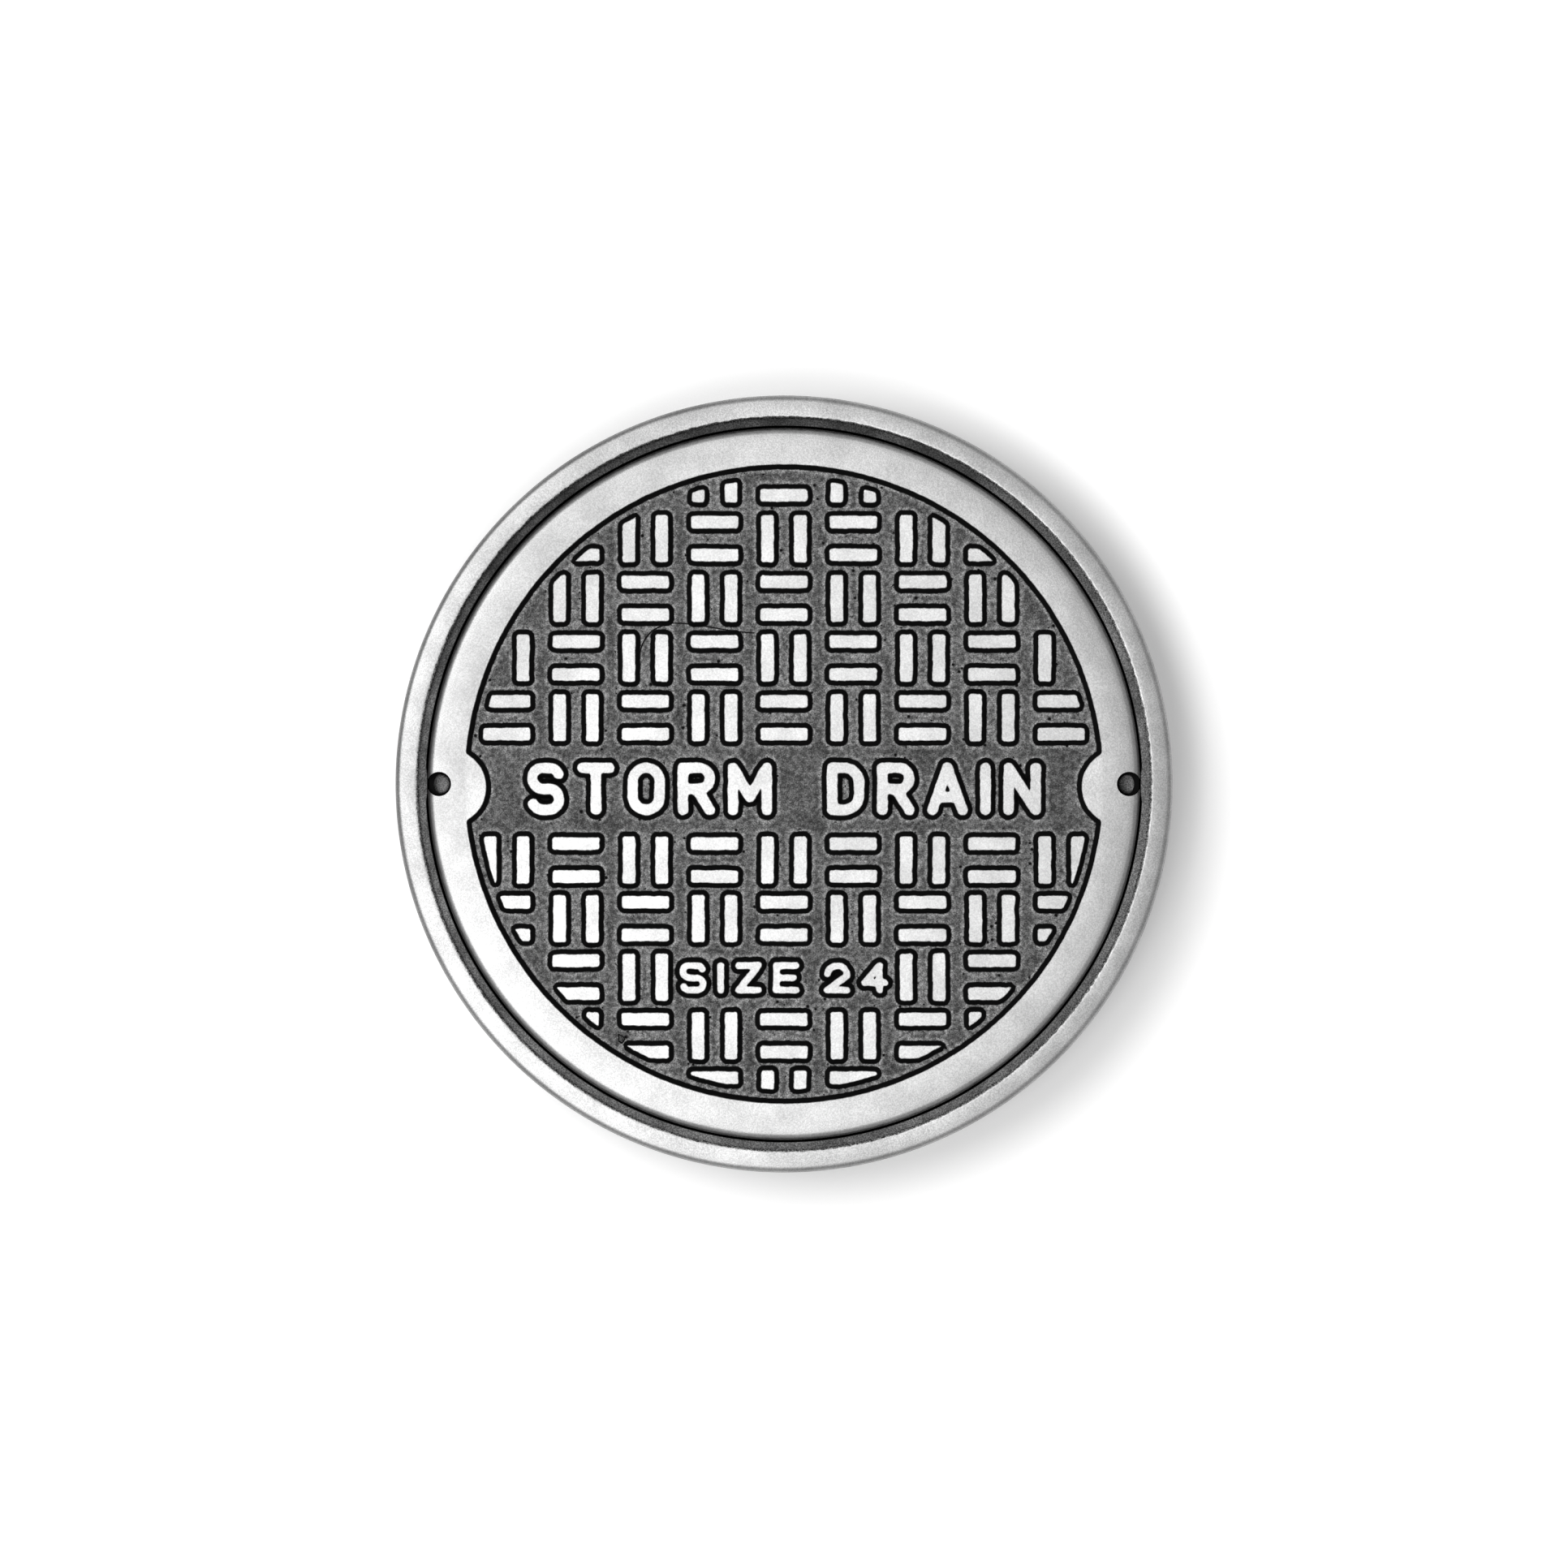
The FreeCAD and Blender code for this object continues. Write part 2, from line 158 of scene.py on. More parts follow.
# ---- node helpers -------------------------------------------------------------------------------
class Sheet:
    """Adds nodes to one node tree in a few words."""

    def __init__(self, tree: bpy.types.NodeTree) -> None:
        """Keep the tree that the nodes go in."""
        self.tree = tree

    def add(self, kind: str, inputs: dict | None = None, **settings: object) -> bpy.types.Node:
        """Add a node, set its properties and fill or link its inputs.

        Args:
            kind: The node's type name.
            inputs: Input name or index to a value or to an output socket.
            **settings: Properties of the node.

        Returns:
            The node.
        """
        node = self.tree.nodes.new(kind)
        for key, value in settings.items():
            setattr(node, key, value)
        for key, value in (inputs or {}).items():
            if isinstance(value, Socket):
                self.tree.links.new(value, node.inputs[key])
            else:
                node.inputs[key].default_value = value
        return node

    def maths(self, operation: str, first: Amount, second: Amount = 0.0,
              clamp: bool = False) -> Socket:
        """Result of a Math node."""
        node = self.add("ShaderNodeMath", {0: first, 1: second}, operation=operation,
                        use_clamp=clamp)
        return node.outputs[0]

    def product(self, *factors: Amount) -> Socket:
        """Two or more amounts multiplied.

        Args:
            *factors: Sockets or numbers.

        Returns:
            The product's socket.
        """
        result = factors[0]
        for factor in factors[1:]:
            result = self.maths("MULTIPLY", result, factor)
        return result

    def stretched(self, value: Socket, low: float, gain: float) -> Socket:
        """A value from 0 to 1 brought to run from low to low plus gain."""
        return self.add("ShaderNodeMath", {0: value, 1: gain, 2: low},
                        operation="MULTIPLY_ADD").outputs[0]

    def vector(self, operation: str, first: Socket, second: tuple = (0.0, 0.0, 0.0),
               output: str = "Vector") -> Socket:
        """Result of a Vector Math node."""
        node = self.add("ShaderNodeVectorMath", {0: first, 1: second}, operation=operation)
        return node.outputs[output]

    def ramp(self, value: Amount, low: float, high: float, start: float = 0.0,
             end: float = 1.0) -> Socket:
        """Smooth step of a value from start at low to end at high."""
        node = self.add("ShaderNodeMapRange",
                        {"Value": value, "From Min": low, "From Max": high,
                         "To Min": start, "To Max": end}, interpolation_type="SMOOTHSTEP")
        return node.outputs["Result"]

    def noise(self, vector: Socket, scale: Amount, detail: float = 3.0,
              rough: float = 0.55) -> Socket:
        """Fractal noise from 0 to 1."""
        node = self.add("ShaderNodeTexNoise",
                        {"Vector": vector, "Scale": scale, "Detail": detail, "Roughness": rough})
        return node.outputs["Fac"]

    def blend(self, share: Socket, first: Socket | tuple, second: Socket | tuple) -> Socket:
        """Colour between first and second by share."""
        node = self.add("ShaderNodeMix", {0: share, 6: first, 7: second}, data_type="RGBA")
        return node.outputs[2]

    def between(self, share: Amount, first: Amount, second: Amount) -> Socket:
        """Number between first and second by share."""
        node = self.add("ShaderNodeMix", {0: share, 2: first, 3: second}, data_type="FLOAT")
        return node.outputs[0]

    def lit(self, shade: Amount) -> Socket:
        """Neutral colour of a brightness."""
        node = self.add("ShaderNodeCombineColor", {0: shade, 1: shade, 2: shade})
        return node.outputs[0]


def grey(shade: float) -> tuple[float, float, float, float]:
    """Neutral colour of a linear brightness."""
    return (shade, shade, shade, 1.0)


def group(name: str, inputs: dict[str, float | None], outputs: list[str]) -> tuple:
    """Start a node group with a vector input for None and number inputs for numbers.

    Args:
        name: The group's name.
        inputs: Input name to its default, or None for a vector.
        outputs: Names of the number outputs.

    Returns:
        The group, its sheet, its input node and its output node.
    """
    tree = bpy.data.node_groups.new(name, "ShaderNodeTree")
    for key, value in inputs.items():
        kind = "NodeSocketVector" if value is None else "NodeSocketFloat"
        socket = tree.interface.new_socket(key, in_out="INPUT", socket_type=kind)
        if value is not None:
            socket.default_value = value
    for key in outputs:
        tree.interface.new_socket(key, in_out="OUTPUT", socket_type="NodeSocketFloat")
    sheet = Sheet(tree)
    return tree, sheet, sheet.add("NodeGroupInput"), sheet.add("NodeGroupOutput")


class Effects:
    """Node groups that several finishes share."""

    def __init__(self) -> None:
        """Build each group once."""
        self.grain = self._grain()
        self.blotches = self._blotches()
        self.ragged = self._ragged()

    @staticmethod
    def _grain() -> bpy.types.NodeTree:
        """Sand-cast grain: fine speckle, its height and soft swells.

        Returns:
            The group.
        """
        tree, sheet, given, result = group(
            "sand_grain", {"Vector": None, "Fineness": 700.0}, ["Speckle", "Height", "Swell"])
        fine = sheet.noise(given.outputs["Vector"], given.outputs["Fineness"], 3.0, 0.75)
        coarse_scale = sheet.maths("MULTIPLY", given.outputs["Fineness"], 0.3)
        coarse = sheet.noise(given.outputs["Vector"], coarse_scale, 3.0, 0.6)
        swell_scale = sheet.maths("MULTIPLY", given.outputs["Fineness"], 0.04)
        swell = sheet.noise(given.outputs["Vector"], swell_scale, 2.0, 0.5)
        links = sheet.tree.links
        links.new(sheet.ramp(fine, 0.36, 0.66), result.inputs["Speckle"])
        height = sheet.maths("ADD", sheet.maths("MULTIPLY", fine, 0.45),
                             sheet.maths("MULTIPLY", coarse, 0.55))
        links.new(height, result.inputs["Height"])
        links.new(sheet.ramp(swell, 0.3, 0.7), result.inputs["Swell"])
        return tree

    @staticmethod
    def _blotches() -> bpy.types.NodeTree:
        """Uneven patina: broad clouds and small dark spots.

        Returns:
            The group.
        """
        tree, sheet, given, result = group(
            "patina_blotches", {"Vector": None, "Scale": 28.0}, ["Cloud", "Spots"])
        cloud = sheet.noise(given.outputs["Vector"], given.outputs["Scale"], 5.0, 0.62)
        spot_scale = sheet.maths("MULTIPLY", given.outputs["Scale"], 7.0)
        spots = sheet.noise(given.outputs["Vector"], spot_scale, 3.0, 0.6)
        links = sheet.tree.links
        links.new(sheet.ramp(cloud, 0.32, 0.68), result.inputs["Cloud"])
        links.new(sheet.ramp(spots, 0.60, 0.72), result.inputs["Spots"])
        return tree

    @staticmethod
    def _ragged() -> bpy.types.NodeTree:
        """Ragged border: 0 below the threshold of a value and 1 above it.

        Returns:
            The group.
        """
        tree, sheet, given, result = group(
            "ragged_border",
            {"Vector": None, "Value": 0.0, "Threshold": 0.0, "Softness": 0.1, "Wander": 0.3,
             "Fineness": 260.0}, ["Above"])
        wobble = sheet.noise(given.outputs["Vector"], given.outputs["Fineness"], 4.0, 0.65)
        wobble = sheet.maths("MULTIPLY", sheet.maths("SUBTRACT", wobble, 0.5),
                             sheet.maths("MULTIPLY", given.outputs["Wander"], 4.0))
        value = sheet.maths("ADD", sheet.maths("SUBTRACT", given.outputs["Value"],
                                               given.outputs["Threshold"]), wobble)
        share = sheet.maths("DIVIDE", value, given.outputs["Softness"])
        share = sheet.maths("ADD", share, 0.5, clamp=True)
        sheet.tree.links.new(share, result.inputs["Above"])
        return tree


@dataclass(frozen=True)
class CastTones:
    """Brightness and gloss of a worn casting's parts, and the side that painted shade darkens."""

    polished: float = 0.325
    polished_rough: float = 0.42
    wall: float = 0.002
    field: float = 0.12
    halo: float = 1.9
    patina_rough: float = 0.7
    patina_metal: float = 0.1
    patina_specular: float = 0.06
    tread_gain: float = 1.12
    fineness: float = 760.0
    lump_fineness: float = 250.0
    bump_strength: float = 0.6
    bump_depth: float = 0.6 * MM
    # painted shade: direction in degrees and distances over which the bare metal is darkened
    shade_side: float = 150.0
    shade_from: float = 0.13
    shade_to: float = 0.31
    shade_least: float = 0.74


@dataclass(frozen=True)
class CoverBorders:
    """Where the cover's finish changes: reaches in millimetres from an outline, else metres."""

    # black band: patina on the walls, carried onto the field at their feet as painted shade
    patina_and_shade_reach: float = 4.75
    smudge_reach: float = 8.0
    halo_from: float = 5.0
    halo_to: float = 9.0
    worn_above: float = 0.1195
    tread_r: float = 0.293
    rim_r: float = 0.297
    # painted shade in the pick pits: black but for the middle of their bottom
    pit_r: float = 11.9 * MM
    pit_middle_r: float = 7.8 * MM
    pit_middle_below: float = 0.108
    pit_floor: float = 0.0988
    hole_floor: float = 0.1125
    pocket_end_r: float = 0.3262


@dataclass(frozen=True)
class FrameBorders:
    """Radii and heights at which the frame's finish changes."""

    bright_r: float = 0.3407
    bright_above: float = 0.1222
    lip_r: float = 0.3388
    lip_to_r: float = 0.3435
    lip_above: float = 0.1195
    ledge_r: float = 0.3300
    ledge_above: float = 0.1186
    pocket_r: float = 0.3410
    # painted shade: pocket wall painted black in the gap round the cover
    gap_shade_above: float = 0.0845
    # painted shade: direction in degrees and distances over which ledge and inner lip are darkened
    ledge_shade_side: float = 105.0
    ledge_shade_from: float = 0.10
    ledge_shade_to: float = 0.28
    ledge_shade_least: float = 0.4


class Finish:
    """Base of the finishes: a material with a Principled shader and object coordinates."""

    def __init__(self, name: str, effects: Effects) -> None:
        """Start the material.

        Args:
            name: The material's name.
            effects: The shared node groups.
        """
        self.effects = effects
        self.material = bpy.data.materials.new(name)
        self.material.use_nodes = True
        self.sheet = Sheet(self.material.node_tree)
        self.shader = self.material.node_tree.nodes["Principled BSDF"]
        self.place = self.sheet.add("ShaderNodeTexCoord").outputs["Object"]

    def use(self, tree: bpy.types.NodeTree, **inputs: Amount) -> bpy.types.Node:
        """Place a shared group, fed with this material's coordinates."""
        return self.sheet.add("ShaderNodeGroup", {"Vector": self.place, **inputs},
                              node_tree=tree)

    def above(self, value: Socket, threshold: float, softness: float, wander: float = 0.0,
              fineness: float = 260.0) -> Socket:
        """Ragged mask, 1 above a threshold, or 1 below it where softness is below zero."""
        node = self.use(self.effects.ragged, Value=value, Threshold=threshold,
                        Softness=softness, Wander=wander, Fineness=fineness)
        return node.outputs["Above"]

    def toward(self, degrees: float, start: float, end: float, least: float) -> Socket:
        """Share that falls from 1 to a least value on one side of the part.

        Args:
            degrees: Direction of that side round +Z, from +X.
            start: Distance that way at which the fall begins.
            end: Distance at which it ends.
            least: The value beyond it.

        Returns:
            The share's socket.
        """
        angle = math.radians(degrees)
        way = self.sheet.vector("DOT_PRODUCT", self.place,
                                (math.cos(angle), math.sin(angle), 0.0), "Value")
        return self.sheet.ramp(way, start, end, 1.0, least)

    def feed(self, **inputs: Amount) -> None:
        """Link or set inputs of the shader.

        Args:
            **inputs: Values by the input's name, with underscores for spaces.
        """
        for key, value in inputs.items():
            socket = self.shader.inputs[key.replace("_", " ")]
            if isinstance(value, Socket):
                self.sheet.tree.links.new(value, socket)
            else:
                socket.default_value = value

    def bump(self, height: Socket, strength: float, depth: float) -> None:
        """Feed the normal from a height from 0 to 1 that stands for a depth in metres."""
        node = self.sheet.add("ShaderNodeBump",
                              {"Height": height, "Strength": strength, "Distance": depth})
        self.feed(Normal=node.outputs["Normal"])


class CastIron(Finish):
    """What both castings share: grain, blotches and worn bright metal over dull patina."""

    def __init__(self, name: str, effects: Effects, tones: CastTones, clouds: float) -> None:
        """Place the shared groups and coordinates.

        Args:
            name: The material's name.
            effects: The shared node groups.
            tones: Brightness of each part of the surface.
            clouds: Scale of the blotches.
        """
        super().__init__(name, effects)
        self.tones = tones
        self.grain = self.use(effects.grain, Fineness=tones.fineness).outputs
        self.blotches = self.use(effects.blotches, Scale=clouds).outputs
        self.high = self.sheet.add("ShaderNodeSeparateXYZ", {0: self.place}).outputs["Z"]
        flat = self.sheet.vector("MULTIPLY", self.place, (1.0, 1.0, 0.0))
        self.out = self.sheet.vector("LENGTH", flat, output="Value")

    def bright(self, swell: float, low: float, gain: float) -> Socket:
        """Brightness of worn metal, lowered by painted shade towards one side of the casting.

        Args:
            swell: Height of the slow changes.
            low: Share left at the darkest flecks.
            gain: What the lightest flecks add to it.

        Returns:
            The brightness's socket.
        """
        sheet, tones = self.sheet, self.tones
        shade = sheet.stretched(self.grain["Swell"], tones.polished - swell / 2, swell)
        # painted shade: bare metal darkened towards one side, as if lit from the other
        dull = self.toward(tones.shade_side, tones.shade_from, tones.shade_to, tones.shade_least)
        return sheet.product(shade, dull, sheet.stretched(self.grain["Speckle"], low, gain))

    def dress(self, bare: Socket, patina: Socket, bright: Socket, smooth: float) -> None:
        """Feed the shader with bare metal and patina.

        Args:
            bare: 1 where the metal is worn bare.
            patina: Colour of the patina.
            bright: Brightness of the bare metal.
            smooth: Share of the bump left on bare metal.
        """
        sheet, tones = self.sheet, self.tones
        self.feed(Base_Color=sheet.blend(bare, patina, sheet.lit(bright)),
                  Metallic=sheet.between(bare, tones.patina_metal, 1.0),
                  Roughness=sheet.between(bare, tones.patina_rough, tones.polished_rough),
                  Specular_IOR_Level=tones.patina_specular)
        self.bump(sheet.product(self.grain["Height"], sheet.between(bare, 1.0, smooth)),
                  tones.bump_strength, tones.bump_depth)


class CoverIron(CastIron):
    """Cast iron worn bright on raised faces, black patina on walls and field, painted shade at
    wall feet.
    """

    borders: CoverBorders = CoverBorders()

    def __init__(self, effects: Effects, tones: CastTones, pick_r: float) -> None:
        """Build the nodes.

        Args:
            effects: The shared node groups.
            tones: Brightness of each part of the surface.
            pick_r: Distance of the pick holes from the axis.
        """
        super().__init__("cover_iron", effects, tones, clouds=26.0)
        sheet, edge = self.sheet, self.borders
        reach = sheet.add("ShaderNodeAttribute", attribute_name="reach").outputs["Fac"]
        stain = sheet.add("ShaderNodeAttribute", attribute_name="stain").outputs["Fac"]
        bare = sheet.maths("MINIMUM", self.above(reach, 0.0, -0.3, 0.14),
                           self.above(self.high, edge.worn_above, 2.2 * MM, 0.6 * MM, 90.0))
        # black patina on the walls, widened onto the field at their feet as painted shade
        walls = self.above(reach, edge.patina_and_shade_reach, -0.9, 0.42)
        smudge = sheet.product(self.above(reach, edge.smudge_reach, -2.5), self.blotches["Spots"])
        black = sheet.maths("MAXIMUM", walls, sheet.maths("MAXIMUM", smudge, stain))
        relief = sheet.blend(black, sheet.lit(self._field_tone(reach)), grey(tones.wall))
        under = sheet.lit(self._under_tone(pick_r))
        patina = sheet.blend(sheet.ramp(reach, -0.5, 0.3), under, relief)
        treads = sheet.ramp(self.out, edge.tread_r, edge.rim_r, tones.tread_gain, 1.0)
        self.dress(bare, patina, sheet.product(self.bright(0.05, 0.84, 0.34), treads), 0.35)

    def _field_tone(self, reach: Socket) -> Socket:
        """Grainy grey of the field, lighter at the feet of the walls and cloudy between.

        Args:
            reach: Distance from the nearest raised outline in millimetres.

        Returns:
            The brightness's socket.
        """
        sheet, tones, edge = self.sheet, self.tones, self.borders
        tone = sheet.between(self.blotches["Cloud"], tones.field * 1.15, tones.field * 0.62)
        halo = sheet.ramp(reach, edge.halo_from, edge.halo_to, 1.0, 0.0)
        tone = sheet.between(halo, tone, tones.field * tones.halo)
        speckle = sheet.maths("POWER", self.grain["Speckle"], 1.3)
        lumps = self.use(self.effects.grain, Fineness=tones.lump_fineness).outputs["Speckle"]
        return sheet.product(tone, sheet.stretched(speckle, 0.5, 1.05),
                             sheet.between(lumps, 0.5, 1.5))

    def _under_tone(self, pick_r: float) -> Socket:
        """Dull cast skin of sides and underside, and pick pits with painted shade: black walls,
        lighter bottom middle.

        Args:
            pick_r: Distance of the pick holes from the axis.

        Returns:
            The brightness's socket.
        """
        sheet, tones, edge = self.sheet, self.tones, self.borders
        skin = sheet.between(self.blotches["Cloud"], tones.field * 0.75, tones.field * 0.3)
        skin = sheet.product(skin, sheet.maths("ADD", self.grain["Speckle"], 0.4))
        mirrored = sheet.vector("ABSOLUTE", self.place)
        flat = sheet.vector("MULTIPLY", mirrored, (1.0, 1.0, 0.0))
        away = sheet.vector("DISTANCE", flat, (pick_r, 0.0, 0.0), "Value")
        # painted shade: pit walls black, only the middle of the bottom left lighter
        pit_middle = sheet.product(self.above(self.high, edge.pit_middle_below, -1.0 * MM),
                               self.above(away, edge.pit_middle_r, -2.4 * MM, 0.8 * MM, 300.0))
        # grainy grey left at the bottom middle of each pit
        scuffed = sheet.product(sheet.maths("ADD", self.grain["Speckle"], 0.3),
                                tones.field * 2.4)
        inside = sheet.maths("MAXIMUM", self.above(self.high, edge.hole_floor, 0.4 * MM),
                             self.above(self.out, edge.pocket_end_r, -0.3 * MM))
        in_hole = sheet.product(self.above(away, edge.pit_r, -0.6 * MM), inside,
                                self.above(self.high, edge.pit_floor, 0.4 * MM))
        # painted shade: black in the pick pits, lighter at their bottom middle
        return sheet.between(in_hole, skin, sheet.between(pit_middle, tones.wall, scuffed))


class FrameIron(CastIron):
    """Cast iron of the frame: bright top ring, grey ledge, dull sides; painted shade on the pocket
    and one side.
    """

    borders: FrameBorders = FrameBorders()

    def __init__(self, effects: Effects, tones: CastTones) -> None:
        """Build the nodes.

        Args:
            effects: The shared node groups.
            tones: Brightness of each part of the surface.
        """
        super().__init__("frame_iron", effects, tones, clouds=22.0)
        sheet, edge, field_tone = self.sheet, self.borders, tones.field
        out, high, cloud = self.out, self.high, self.blotches["Cloud"]
        speckle = sheet.maths("POWER", self.grain["Speckle"], 1.4)
        # painted shade: ledge and inner lip darker towards one side of the frame
        ledge_shade = self.toward(edge.ledge_shade_side, edge.ledge_shade_from, edge.ledge_shade_to, edge.ledge_shade_least)
        ring = sheet.product(self.above(out, edge.bright_r, 1.0 * MM, 0.8 * MM, 150.0),
                             self.above(high, edge.bright_above, 1.6 * MM, 0.5 * MM, 60.0))
        lip = self.above(out, edge.lip_r, 0.8 * MM, 0.5 * MM, 150.0)
        ledge = sheet.product(sheet.maths("SUBTRACT", 1.0, lip),
                              self.above(high, edge.ledge_above, 0.8 * MM, 0.2 * MM),
                              self.above(out, edge.ledge_r, 0.6 * MM))
        # painted shade: pocket wall under the ledge painted black, where the gap round the cover
        # lies in shade
        pocket = sheet.product(self.above(high, edge.gap_shade_above, 1.0 * MM),
                               self.above(out, edge.pocket_r, -1.0 * MM))
        inner_lip = sheet.product(lip, self.above(high, edge.lip_above, 1.0 * MM),
                                  self.above(out, edge.lip_to_r, -1.0 * MM))
        side = sheet.product(sheet.between(cloud, field_tone * 0.9, field_tone * 0.35),
                             sheet.maths("ADD", speckle, 0.5))
        step = sheet.product(sheet.maths("ADD", speckle, 0.35), field_tone * 1.6,
                             sheet.between(cloud, 1.15, 0.5), ledge_shade)
        # inner lip: lighter worn grey, with the painted shade on one side
        lip_wear_and_shade = sheet.product(speckle, field_tone * 2.4, ledge_shade)
        patina = sheet.blend(pocket, sheet.lit(side), grey(tones.wall))
        patina = sheet.blend(ledge, patina, sheet.lit(step))
        patina = sheet.blend(inner_lip, patina, sheet.lit(lip_wear_and_shade))
        self.dress(ring, patina, self.bright(0.06, 0.8, 0.42), 0.4)


class Rubber(Finish):
    """Moulded black rubber with a fine matt skin."""

    def __init__(self, name: str, effects: Effects, shade: float) -> None:
        """Build the nodes.

        Args:
            name: The material's name.
            effects: The shared node groups.
            shade: Brightness of its skin.
        """
        super().__init__(name, effects)
        sheet = self.sheet
        grain = self.use(effects.grain, Fineness=900.0)
        blotches = self.use(effects.blotches, Scale=40.0)
        tone = sheet.between(blotches.outputs["Cloud"], shade, shade * 2.2)
        self.feed(Base_Color=sheet.lit(tone), Metallic=0.0,
                  Roughness=sheet.between(grain.outputs["Speckle"], 0.62, 0.85))
        self.bump(grain.outputs["Height"], 0.4, 0.2 * MM)


class ZincSteel(Finish):
    """Pressed or turned steel with a dull zinc skin, scuffed here and there."""

    def __init__(self, name: str, effects: Effects, shade: float) -> None:
        """Build the nodes.

        Args:
            name: The material's name.
            effects: The shared node groups.
            shade: Brightness of its skin.
        """
        super().__init__(name, effects)
        sheet = self.sheet
        cells = sheet.add("ShaderNodeTexVoronoi", {"Vector": self.place, "Scale": 220.0},
                          feature="F1")
        grain = self.use(effects.grain, Fineness=1100.0)
        blotches = self.use(effects.blotches, Scale=90.0)
        flake = sheet.ramp(cells.outputs["Distance"], 0.0, 0.9, shade * 0.85, shade * 1.15)
        tone = sheet.between(blotches.outputs["Spots"], flake, shade * 0.45)
        self.feed(Base_Color=sheet.lit(tone), Metallic=1.0,
                  Roughness=sheet.between(grain.outputs["Speckle"], 0.32, 0.5))
        self.bump(grain.outputs["Height"], 0.25, 0.1 * MM)


# ---- the cover ----------------------------------------------------------------------------------
@dataclass(frozen=True)
class Blemish:
    """A nub or pit of the sand mould in the field of the cover."""

    centre: Vector
    size: float
    rise: float

    def samples(self) -> list[Vector]:
        """Sample it.

        Returns:
            Its middle and two rings round it.
        """
        points = [self.centre]
        for share, count in ((0.5, 5), (1.0, 8)):
            for i in range(count):
                step = heading(math.tau * i / count)
                points.append(self.centre + step * self.size * share)
        return points

    def share(self, point: Vector) -> float:
        """1 at its middle, falling to 0 at its edge."""
        return max(0.0, 1.0 - (point - self.centre).length / self.size)


@dataclass
class CoverCasting:
    """The cover: raised rim, treads and letters over a recessed field, ribs underneath."""

    effects: Effects
    tones: CastTones
    relief: float = 6.0 * MM
    wall_run: float = 3.5 * MM
    rim_inner_r: float = 296.0 * MM
    top_outer_r: float = 324.0 * MM
    crown_from_r: float = 299.0 * MM
    crown_drop: float = 1.1 * MM
    outer_round: float = 6.0 * MM
    rim_step: float = 4.0 * MM
    edge_round: float = 0.45 * MM
    edge_drop: float = 0.18 * MM
    spacing: float = 1.6 * MM
    floor_spacing: float = 5.0 * MM
    foot_rise: float = 0.3 * MM
    foot_run: float = 1.4 * MM
    lumps: tuple = ((12.0, (0, 0, 0), 0.45), (5.0, (9, 3, 1), 0.38), (2.3, (2, 8, 5), 0.30))
    floor_waves: tuple = ((23.0, 0.22), (6.5, 0.12))
    far_mm: float = -30.0
    blemish_count: int = 150
    blemish_sizes_mm: tuple = (0.9, 2.4)
    blemish_rises_mm: tuple = (-0.7, 0.9, 1.2)
    seed: int = 7
    veins_mm: tuple = (((-106, 148), (-118, 147), (-133, 138), (-134, 116)),
                       ((-106, 149), (-80, 150), (-55, 141), (-28, 140)))
    vein_steps: int = 60
    top_z: float = field(init=False)
    outer_r: float = field(init=False)
    field_z: float = field(init=False)
    holes: list[tuple[Vector, float]] = field(init=False)
    tree: KDTree = field(init=False)
    facing: list[Vector] = field(init=False)
    blemishes: list[Blemish] = field(init=False)
    near: KDTree = field(init=False)

    def __post_init__(self) -> None:
        """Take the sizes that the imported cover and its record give."""
        self.top_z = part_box("cover")[1][2]
        self.outer_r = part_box("cover")[1][0]
        self.field_z = self.top_z - self.relief
        self.holes = [(Vector(mount["pos_m"][:2]), mount["dims"]["r_mm"] * MM)
                      for mount in frame["record"]["mounts"]
                      if mount["name"].startswith("pick_hole")]

    def build(self) -> bpy.types.Object:
        """Make the piece.

        Returns:
            The cover's object.
        """
        noise.seed_set(self.seed)
        shell = merged_copy("cover")
        loops = self._relief_loops(shell)
        outer = self._open_shell(shell)
        outlines = [self._roughened(self._spaced(loop)) for loop in loops]
        self._remember(outlines)
        self._scatter_blemishes()
        self._lay_skin(shell, outlines, outer)
        pick_r = max(abs(centre.x) for centre, _ in self.holes)
        iron = CoverIron(self.effects, self.tones, pick_r)
        return finished(shell, "cover_casting", Body.COVER, ["cover"],
                        iron.material, crease=50.0)

    def _crown(self, distance: float) -> float:
        """How far the rim's top lies below its highest line.

        Args:
            distance: Distance from the axis.

        Returns:
            The drop.
        """
        share = (distance - self.crown_from_r) / (self.outer_r - self.crown_from_r)
        drop = self.crown_drop * max(0.0, share) ** 2
        bend = min(self.outer_round, max(0.0, distance - self.top_outer_r))
        rest = self.outer_round - self.crown_drop
        return drop + rest * (1 - math.sqrt(1 - (bend / self.outer_round) ** 2))

    def _is_top(self, face: bmesh.types.BMFace) -> bool:
        """Whether a face lies in the plane of the top."""
        return all(v.co.z > self.top_z - HAIR for v in face.verts)

    def _relief_loops(self, shell: bmesh.types.BMesh) -> list[list[Vector]]:
        """Outlines of rim, treads and letters, with the metal on their left.

        Args:
            shell: The whole casting.

        Returns:
            One list of points for each closed outline.
        """
        following = {}
        for face in shell.faces:
            if not self._is_top(face):
                continue
            for corner in face.loops:
                others = [f for f in corner.edge.link_faces if f is not face]
                middle = (corner.vert.co + corner.link_loop_next.vert.co) / 2
                if self._is_top(others[0]) or radius(middle) > self.rim_inner_r + MM:
                    continue
                following[corner.vert] = corner.link_loop_next.vert
        loops = []
        while following:
            start = next(iter(following))
            loop = [start]
            step = following.pop(start)
            while step is not start:
                loop.append(step)
                step = following.pop(step)
            loops.append([v.co.to_2d() for v in loop])
        return loops

